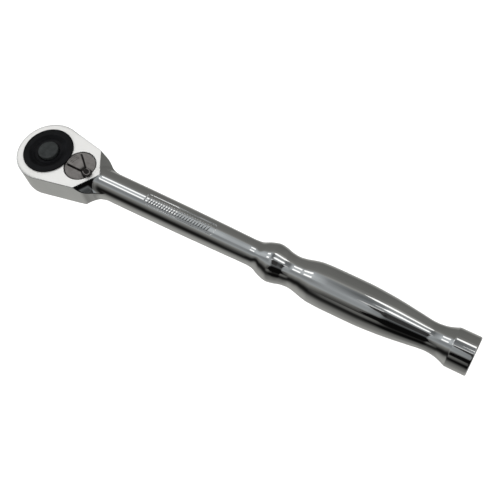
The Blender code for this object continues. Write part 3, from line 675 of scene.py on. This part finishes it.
def make_panel_ribs():
    """Slanted ribs that fill the shank's panel, a plain decoration."""
    points = []
    faces = []
    count = int((PANEL_END - PANEL_START - 2.4) / RIB_PITCH)
    lengthwise = 13
    around = 9
    for rib in range(count):
        middle = PANEL_START + RIB_MARGIN + RIB_PITCH * rib
        first = len(points)
        for i in range(lengthwise):
            part = 2 * i / (lengthwise - 1) - 1
            swell = math.sqrt(max(1 - abs(part) ** 6, 0.0)) * 0.98 + 0.02
            across = part * (PANEL_HALF_WIDTH - RIB_GAP)
            x_middle = middle + RIB_SLANT * part
            for j in range(around):
                angle = math.pi * j / (around - 1)
                x = x_middle + RIB_HALF_WIDTH * swell * math.cos(angle)
                radius = float(look_up(HANDLE, x)[0])
                rise = -PANEL_DEPTH - 0.04 + (PANEL_DEPTH + 0.05) * swell * math.sin(angle)
                turn = math.radians(PANEL_TURN) + across / radius
                reach = radius + rise
                points.append((x, reach * math.sin(turn), AXIS_Z + reach * math.cos(turn)))
        for i in range(lengthwise - 1):
            for j in range(around - 1):
                a = first + i * around + j
                faces.append((a, a + around, a + around + 1, a + 1))
            a = first + i * around
            faces.append((a, a + around - 1, a + 2 * around - 1, a + around))
        faces.append(tuple(first + j for j in range(around)))
        last = first + (lengthwise - 1) * around
        faces.append(tuple(last + around - 1 - j for j in range(around)))
    piece = make_piece("panel_ribs", np.array(points), faces, None, CHROME, "handle", "chrome")
    repair = bmesh.new()
    repair.from_mesh(piece.data)
    bmesh.ops.recalc_face_normals(repair, faces=repair.faces)
    repair.to_mesh(piece.data)
    repair.free()


# ---------------------------------------------------------------- disc, button and lever

def make_thumb_disc():
    """Dished disc with a skirt that clips over the gear's neck."""
    profile = [  # radius, height and fillet
        (4.5, TOP - 0.75, 0.06), (6.1, TOP - 0.75, 0.05), (6.1, TOP - 1.55, 0.05),
        (6.55, TOP - 1.55, 0.1), (6.55, DISC_UNDERSIDE, 0.05),
        (DISC_RADIUS, DISC_UNDERSIDE, 0.12), (DISC_RADIUS, DISC_RIM, 0.3),
        (8.05, DISC_RIM, 1.6), (5.9, TOP - 0.22, 1.2), (4.5, TOP - 0.3, 0.15),
    ]
    make_piece("thumb_disc_moulding", *lathe(profile, closed=True, segments=192), BLACK_PLASTIC,
               "drive", "black_plastic", ("thumb_disc",))


def make_button():
    """Push button, slightly domed, with the flange that keeps it in."""
    profile = [  # radius, height and fillet
        (0.0, FLANGE_BOTTOM, 0.0), (FLANGE_RADIUS, FLANGE_BOTTOM, 0.05),
        (FLANGE_RADIUS, FLANGE_TOP, 0.05), (BUTTON_RADIUS, FLANGE_TOP, 0.04),
        (BUTTON_RADIUS, TOP + 0.86, 0.4), (2.6, TOP + 0.93, 1.5), (0.0, TOP + 0.95, 0.0),
    ]
    make_piece("button_cap", *lathe(profile, segments=128), BUTTON_PLASTIC,
               "button", "button_plastic", ("release_button",))


GRIP_PLAN = (  # half the grip's plan: a fan, a waist and a tab
    (-5.75, 0.0), (-5.65, 1.5), (-5.2, 2.8), (-4.3, 3.35), (-3.2, 3.0), (-0.5, 2.05), (1.4, 1.35),
    (2.6, 0.92), (3.5, 1.05), (4.7, 1.5), (6.2, 1.7), (7.2, 1.35), (7.8, 0.6),
)
GRIP_SIDE = (  # the grip from the side: the tab rises past the disc's edge
    (-5.9, TOP - 0.9), (6.05, TOP - 0.9), (6.3, TOP + 0.3), (8.0, TOP + 0.35), (8.0, TOP + 1.2),
    (7.4, TOP + 1.85), (6.4, TOP + 2.1), (5.4, TOP + 2.05), (4.5, TOP + 1.75), (3.4, TOP + 0.95),
    (2.3, TOP + 0.5), (0.0, TOP + 0.42), (-3.0, TOP + 0.5), (-5.9, TOP + 0.5),
)


def grip_plan(u, v):
    return polygon_field(u, v, GRIP_PLAN + tuple((x, -y) for x, y in GRIP_PLAN[:0:-1]))


def lever_field(u, v, z):
    """The lever along its own pointing direction u: disc, grip and spindle in one casting."""
    reach = np.hypot(u, v)
    disc = round_max(reach - LEVER_RADIUS, slab(z, LEVER_BOTTOM, LEVER_TOP), 0.18)
    plan = grip_plan(u, v)
    side = polygon_field(u, z, GRIP_SIDE)
    moat = np.abs(plan - MOAT_WIDTH / 2) - MOAT_WIDTH / 2
    moat = np.maximum(moat, LEVER_TOP - MOAT_DEPTH - z)
    moat = np.maximum(np.maximum(moat, reach - 6.2), -4.6 - u)
    disc = smooth_max(disc, -moat, 0.12)
    grip = round_max(plan, side, 0.22)
    dimple = 1.5 - np.sqrt((u - 6.1) ** 2 + (v * 0.9) ** 2 + (z - (TOP + 3.1)) ** 2)
    grip = smooth_max(grip, dimple, 0.2)
    for place in GRIP_GROOVES:
        bar = np.hypot(u - place, z - (TOP + 0.52)) - 0.27
        grip = smooth_max(grip, -np.maximum(bar, np.abs(v) - 1.7), 0.1)
    lever = smooth_min(disc, grip, 0.18)
    spindle = drum(u, v, z, SPINDLE_RADIUS, SPINDLE_BOTTOM, 21.0)
    spindle = np.minimum(spindle, drum(u, v, z, JOURNAL_RADIUS, JOURNAL_BOTTOM, 14.0))
    spindle = np.maximum(spindle, -groove(z, reach, CLIP_GROOVE))
    spindle = np.maximum(spindle, -groove(z, reach, SEAL_GROOVE))
    lever = np.minimum(lever, spindle)
    bore = np.maximum(np.hypot(v, z - PLUNGER_Z) - PLUNGER_BORE, np.abs(u + 1.35) - 3.65)
    return np.maximum(lever, -bore)


def make_lever():
    """The lever's casting at its rest angle, with painted shade along its grip and over its tab marked,
    lighter in a painted highlight ring on the tab.
    """
    cell = 0.12 * COARSE
    us = np.arange(-6.9, 8.2, cell)
    vs = np.arange(-6.8, 6.81, cell) + 0.007
    zs = np.arange(12.4, TOP + 2.5, cell) + 0.003
    points, faces, normals = surface_net(lever_field, us, vs, zs)
    turn = math.radians(LEVER_REST)
    cosine = math.cos(turn)
    sine = math.sin(turn)
    spin = np.array(((cosine, sine, 0), (-sine, cosine, 0), (0, 0, 1)))
    turned = points @ spin + np.array((LEVER_X, 0, 0))
    piece = make_piece("lever_casting", turned, faces, normals @ spin, CAST_STEEL, "lever",
                       "cast_steel", ("reversing_lever",))
    plan = grip_plan(points[:, 0], points[:, 1])
    # Painted shade: a dark line that follows the grip's outline along the moat.
    moat_shade = np.clip(1.5 - np.abs(plan - 0.14) / 0.36, 0, 1) * (points[:, 0] > -4.4)
    # Painted shade over the waist and the tab.
    tab = np.clip((points[:, 0] - 1.2) / 1.0, 0, 1) * (plan < 0.5)
    # Painted highlight: a lighter ring near the tab's top, where less shade is painted.
    painted_glint = (points[:, 0] > 4.3) & (points[:, 2] > TOP + 1.2) & (np.abs(plan + 0.42) < 0.2)
    # Painted shade, kept to the top of the lever.
    painted_shade = np.maximum(moat_shade, tab * (1 - 0.75 * painted_glint)) * (points[:, 2] > LEVER_TOP - 0.7)
    mark = piece.data.attributes.new("painted_shade", "FLOAT", "POINT")
    mark.data.foreach_set("value", painted_shade.astype(np.float32))


# ---------------------------------------------------------------- drive side

def gear_field(x, y, z):
    """Gear ring, collar, hub, neck and drive square in one piece, with its bore."""
    reach = np.hypot(x, y)
    turn = np.arctan2(y, x) * TEETH / (2 * math.pi)
    wave = np.abs((turn % 1.0) - 0.5) * 2
    crest = TOOTH_ROOT + TOOTH_HEIGHT * np.clip(wave * 1.35 - 0.18, 0, 1)
    gear = round_max((reach - crest) * 0.8, slab(z, GEAR_BOTTOM, GEAR_TOP), 0.12)
    hub = np.maximum(reach - HUB_RADIUS, slab(z, 18.0, HUB_TOP))
    hub = np.maximum(hub, -groove(z, reach, HUB_GROOVE))
    hub = np.minimum(hub, drum(x, y, z, NECK_RADIUS, 20.0, NECK_TOP))
    collar = round_max(reach - COLLAR_RADIUS, slab(z, COLLAR_BOTTOM, 14.5), 0.35)
    collar = np.maximum(collar, -groove(z, reach, COLLAR_GROOVE))
    square = round_max(np.abs(x) - SQUARE_SIDE / 2, np.abs(y) - SQUARE_SIDE / 2, 0.5)
    square = np.maximum(square, (square - z + SQUARE_TAPER) / math.sqrt(2))
    square = round_max(square, slab(z, 0.0, 11.5), 0.12)
    solid = np.minimum(np.minimum(gear, hub), smooth_min(collar, square, 0.35))
    for bore in (STEM_BORE, SPRING_BORE, BUTTON_BORE):
        solid = np.maximum(solid, -drum(x, y, z, *bore))
    ball = np.maximum(np.hypot(x, z - BALL_Z) - BALL_BORE, y)
    return smooth_max(solid, -ball, 0.12)


def make_gear():
    cell = 0.2 * COARSE
    xs = np.arange(-9.6, 9.61, cell) + 0.011
    zs = np.arange(-0.3, 22.4, cell) + 0.017
    make_piece("drive_gear_steel", *surface_net(gear_field, xs, xs, zs), GEAR_STEEL,
               "drive", "gear_steel", ("drive_gear",))


def soften_edges(name, width):
    """Round a CAD node's edges with a bevel, without a change to its own mesh."""
    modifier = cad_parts[name].modifiers.new("edge", "BEVEL")
    modifier.width = width
    modifier.segments = 3
    modifier.limit_method = "ANGLE"
    modifier.angle_limit = math.radians(40.0)
    modifier.harden_normals = True


FINISHES = {
    "release_stem": DARK_STEEL, "release_spring": SPRING_STEEL, "button_retaining_ring": SPRING_STEEL,
    "detent_ball": SPRING_STEEL, "spindle_clip": DARK_STEEL, "lever_washer": SPRING_STEEL,
    "detent_plunger": DARK_STEEL, "plunger_spring": SPRING_STEEL, "pawl": DARK_STEEL,
    "hub_seal": SEAL_RUBBER, "collar_seal": SEAL_RUBBER, "spindle_seal": SEAL_RUBBER,
    "friction_washer": SPRING_STEEL, "cover_washer": DARK_STEEL, "retaining_ring": DARK_STEEL,
}


def dress_cad_nodes():
    for name, finish in FINISHES.items():
        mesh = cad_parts[name].data
        mesh.materials.clear()
        mesh.materials.append(finish)
    soften_edges("retaining_ring", 0.08 * MM)
    soften_edges("cover_washer", 0.08 * MM)


# ---------------------------------------------------------------- studio

def grey(level):
    """Linear value of a grey of the given 8-bit display level."""
    share = level / 255.0
    return share / 12.92 if share <= 0.04045 else ((share + 0.055) / 1.055) ** 2.4


CHROME_SHARE = 0.8


def glossy_only(thing):
    """Let only reflections see an object."""
    thing.visible_camera = False
    thing.visible_diffuse = False
    thing.visible_shadow = False
    thing.visible_transmission = False
    thing.visible_volume_scatter = False


def emitter(name):
    """Material that gives off one colour."""
    made = bpy.data.materials.new(name)
    made.use_nodes = True
    tree = made.node_tree
    tree.nodes.clear()
    glow = node(tree, "ShaderNodeEmission")
    out = node(tree, "ShaderNodeOutputMaterial")
    tree.links.new(glow.outputs["Emission"], out.inputs["Surface"])
    return made, tree, glow


# Room round the handle: degrees from straight up, towards +Y, and display level, at the
# head's end, the middle and the pommel's end.  The levels follow tones that a separate
# program measured in the photograph, so they belong to that one view.
NEAR_STOPS = (
    (-180, 150), (-160, 150), (-145, 150), (-125, 136), (-112, 112), (-105, 84), (-98, 46), (-91, 24),
    (-84, 18), (-77, 30), (-70, 60), (-61, 94), (-54, 108), (-48, 128), (-41, 144), (-33, 132),
    (-24, 120), (-17, 128), (-12, 166), (5, 176), (25, 150), (32, 118), (41, 104), (60, 99),
    (100, 96), (108, 104), (114, 122), (121, 140), (150, 150), (180, 150),
)
MIDDLE_STOPS = (
    (-180, 146), (-163, 136), (-150, 130), (-138, 116), (-126, 106), (-115, 94), (-108, 70),
    (-101, 38), (-94, 24), (-87, 34), (-81, 80), (-73, 94), (-67, 60), (-60, 66), (-54, 86),
    (-48, 108), (-42, 142), (-33, 136), (-25, 142), (-18, 152), (-11, 132), (0, 110), (11, 92),
    (20, 104), (29, 140), (36, 112), (50, 98), (100, 92), (109, 100), (120, 138), (150, 146),
    (180, 146),
)
FAR_STOPS = (
    (-180, 150), (-160, 150), (-145, 140), (-130, 100), (-115, 86), (-109, 57), (-103, 24),
    (-97, 10), (-91, 14), (-85, 27), (-79, 30), (-73, 20), (-64, 8), (-50, 10), (-46, 30), (-41, 66),
    (-37, 88), (-32, 76), (-25, 62), (-17, 58), (-12, 72), (-7, 119), (-1, 160), (14, 134), (36, 150),
    (42, 124), (48, 102), (100, 98), (109, 100), (120, 138), (150, 150), (180, 150),
)
BLUE_FROM = -46
BLUE_TO = 26
LAMP_TONE = 1.35
ROOM_RADIUS = 2.0
CARD_DISTANCE = 1.8


def band_ramp(tree, share, stops):
    """Colour of the room round the handle, faintly blue overhead and warm elsewhere."""
    ramp = node(tree, "ShaderNodeValToRGB")
    elements = ramp.color_ramp.elements
    while len(elements) < len(stops):
        elements.new(0.5)
    for element, (turn, level) in zip(elements, stops):
        element.position = (turn + 180) / 360
        tone = grey(level) / CHROME_SHARE
        cool = BLUE_FROM < turn < BLUE_TO
        tint = (0.95, 1.0, 1.035) if cool else (1.0, 1.0, 0.96)
        element.color = (tone * tint[0], tone * tint[1], tone * tint[2], 1.0)
    tree.links.new(share, ramp.inputs["Fac"])
    return ramp.outputs["Color"]


def make_room():
    """Long tunnel about the handle's axis, painted in soft bands of grey."""
    made, tree, glow = emitter("room_bands")
    where = node(tree, "ShaderNodeTexCoord")
    parts = node(tree, "ShaderNodeSeparateXYZ")
    tree.links.new(where.outputs["Object"], parts.inputs[0])
    angle = node(tree, "ShaderNodeMath", operation="ARCTAN2")
    tree.links.new(parts.outputs["Y"], angle.inputs[0])
    tree.links.new(parts.outputs["Z"], angle.inputs[1])
    share = spread(tree, angle.outputs[0], 0.0, 1.0, -math.pi, math.pi)
    near = band_ramp(tree, share, NEAR_STOPS)
    middle = band_ramp(tree, share, MIDDLE_STOPS)
    place = spread(tree, parts.outputs["X"], 0.0, 1.0, -0.75, -0.25)
    beyond = spread(tree, parts.outputs["X"], 0.0, 1.0, 0.02, 0.24)
    far = band_ramp(tree, share, FAR_STOPS)
    inner = blend_colour(tree, place, near, middle)
    tree.links.new(blend_colour(tree, beyond, inner, far), glow.inputs["Color"])
    shell = bmesh.new()
    bmesh.ops.create_cone(
        shell, cap_ends=True, segments=64, radius1=ROOM_RADIUS, radius2=ROOM_RADIUS, depth=9.0,
    )
    bmesh.ops.transform(shell, matrix=Matrix.Rotation(math.pi / 2, 4, "Y"), verts=shell.verts)
    mesh = bpy.data.meshes.new("room")
    shell.to_mesh(mesh)
    shell.free()
    mesh.materials.append(made)
    room = bpy.data.objects.new("room", mesh)
    room.location = (0.1, 0.0, AXIS_Z * MM)
    bpy.context.scene.collection.objects.link(room)
    glossy_only(room)


def make_card(name, turns, reaches, level, pointed=None):
    """Card of one brightness that spans turns about the handle and a share of its length.

    turns are degrees from straight up, and reaches are cosines of the angle with +X.
    pointed is the turn of the card's tip and the reach at which it has its full width.
    """
    made, _, glow = emitter(name)
    tone = grey(level) / CHROME_SHARE if level < 240 else LAMP_TONE
    glow.inputs["Color"].default_value = (tone, tone, tone, 1.0)
    mesh_data = bmesh.new()
    spans = [(reaches[0], 1.0), (reaches[1], 1.0)]
    tip = 0.0
    if pointed:
        tip = pointed[0]
        spans = [(reaches[0], 0.04), (pointed[1], 1.0), (reaches[1], 1.0)]
    steps = 6
    rows = []
    for step in range(steps + 1):
        wide = turns[0] + (turns[1] - turns[0]) * step / steps
        row = []
        for reach, share in spans:
            turn = math.radians(tip + (wide - tip) * share)
            x = CARD_DISTANCE * reach / math.sqrt(1 - reach * reach)
            y = CARD_DISTANCE * math.sin(turn)
            z = CARD_DISTANCE * math.cos(turn)
            row.append(mesh_data.verts.new((x, y, z)))
        rows.append(row)
    for first, second in zip(rows, rows[1:]):
        for near, far in zip(range(len(spans) - 1), range(1, len(spans))):
            mesh_data.faces.new((first[near], first[far], second[far], second[near]))
    mesh = bpy.data.meshes.new(name)
    mesh_data.to_mesh(mesh)
    mesh_data.free()
    mesh.materials.append(made)
    card = bpy.data.objects.new(name, mesh)
    card.location = (0.06, 0.0, AXIS_Z * MM)
    bpy.context.scene.collection.objects.link(card)
    glossy_only(card)


def make_cards():
    """Tube lights and dark screens that draw the crisp streaks on the chrome."""
    make_card("tube_near_left", (-11, -2), (-0.66, -0.40), 250)
    make_card("tube_near_right", (12, 22), (-0.66, -0.40), 250)
    make_card("tube_far_left", (0, 9), (0.05, 0.33), 250, (4, 0.14))
    make_card("tube_far_right", (24, 33), (-0.05, 0.31), 250, (29, 0.05))
    make_card("dark_screen", (-76, -46), (-0.03, 0.97), 9, (-60, 0.12))
    make_card("dark_screen_low", (-104, -86), (0.0, 0.97), 10, (-94, 0.10))
    make_card("dark_line", (-69, -65), (-0.20, 0.05), 34, (-66, -0.05))
    make_card("dark_line_high", (-52, -49), (-0.12, 0.10), 52, (-50, 0.02))
    make_card("dim_panel", (-34, -10), (0.02, 0.28), 50, (-13, 0.12))
    make_card("dim_panel_core", (-30, -17), (0.07, 0.24), 16, (-20, 0.14))
    make_card("pale_line", (-12, -8), (-0.10, 0.10), 196, (-10, 0.0))


def make_floor():
    """Plain pale floor, well below the wrench."""
    floor_mesh = bmesh.new()
    bmesh.ops.create_grid(floor_mesh, x_segments=8, y_segments=8, size=6.0)
    mesh = bpy.data.meshes.new("floor")
    floor_mesh.to_mesh(mesh)
    floor_mesh.free()
    made, tree, shader = start_material("pale_floor")
    cloud = speckle(tree, 3.0, 3.0)
    tree.links.new(mottle(tree, cloud, (0.90, 0.90, 0.90), (0.93, 0.93, 0.93)), shader.inputs["Base Color"])
    shader.inputs["Roughness"].default_value = 0.9
    mesh.materials.append(made)
    floor = bpy.data.objects.new("floor", mesh)
    floor.location = (0.0, 0.0, -0.25)
    floor.visible_glossy = False
    bpy.context.scene.collection.objects.link(floor)


def make_light():
    """Even white surroundings for matt surfaces, and one large soft lamp."""
    world = bpy.data.worlds.new("studio")
    bpy.context.scene.world = world
    world.use_nodes = True
    sky = world.node_tree.nodes["Background"]
    sky.inputs["Color"].default_value = (1.0, 1.0, 1.0, 1.0)
    sky.inputs["Strength"].default_value = 1.15
    world.cycles_visibility.glossy = False

    lamp = bpy.data.lights.new("soft_box", "AREA")
    lamp.size = 1.2
    lamp.energy = 9.0
    box = bpy.data.objects.new("soft_box", lamp)
    box.location = (-0.5, 0.5, 1.3)
    box.rotation_euler = (Vector((0.08, 0.0, 0.0)) - box.location).to_track_quat("-Z", "Y").to_euler()
    box.visible_glossy = False
    bpy.context.scene.collection.objects.link(box)


CAMERA_TURN = math.radians(41.49)
CAMERA_RISE = math.radians(61.21)
CAMERA_ROLL = math.radians(-12.62)
CAMERA_PLACE = (0.18541, -0.09997, 0.2614)


def make_camera():
    """Camera that looks down on the lever side from the handle's right."""
    turn = CAMERA_TURN
    rise = CAMERA_RISE
    roll = CAMERA_ROLL
    flat = math.cos(rise)
    back = Vector((math.sin(turn) * flat, -math.cos(turn) * flat, math.sin(rise)))
    level = Vector((math.cos(turn), math.sin(turn), 0.0))
    upright = back.cross(level)
    right = level * math.cos(roll) + upright * math.sin(roll)
    up = back.cross(right)
    lens = bpy.data.cameras.new("camera")
    lens.sensor_width = 36.0
    lens.lens = 52.7
    lens.clip_start = 0.01
    camera = bpy.data.objects.new("camera", lens)
    aim = Matrix((right, up, back)).transposed().to_4x4()
    camera.matrix_world = Matrix.Translation(CAMERA_PLACE) @ aim
    bpy.context.scene.collection.objects.link(camera)
    bpy.context.scene.camera = camera


make_forging()
make_panel_ribs()
make_thumb_disc()
make_button()
make_lever()
make_gear()
dress_cad_nodes()
make_room()
make_cards()
make_floor()
make_light()
make_camera()
bpy.context.scene.view_settings.view_transform = "Standard"
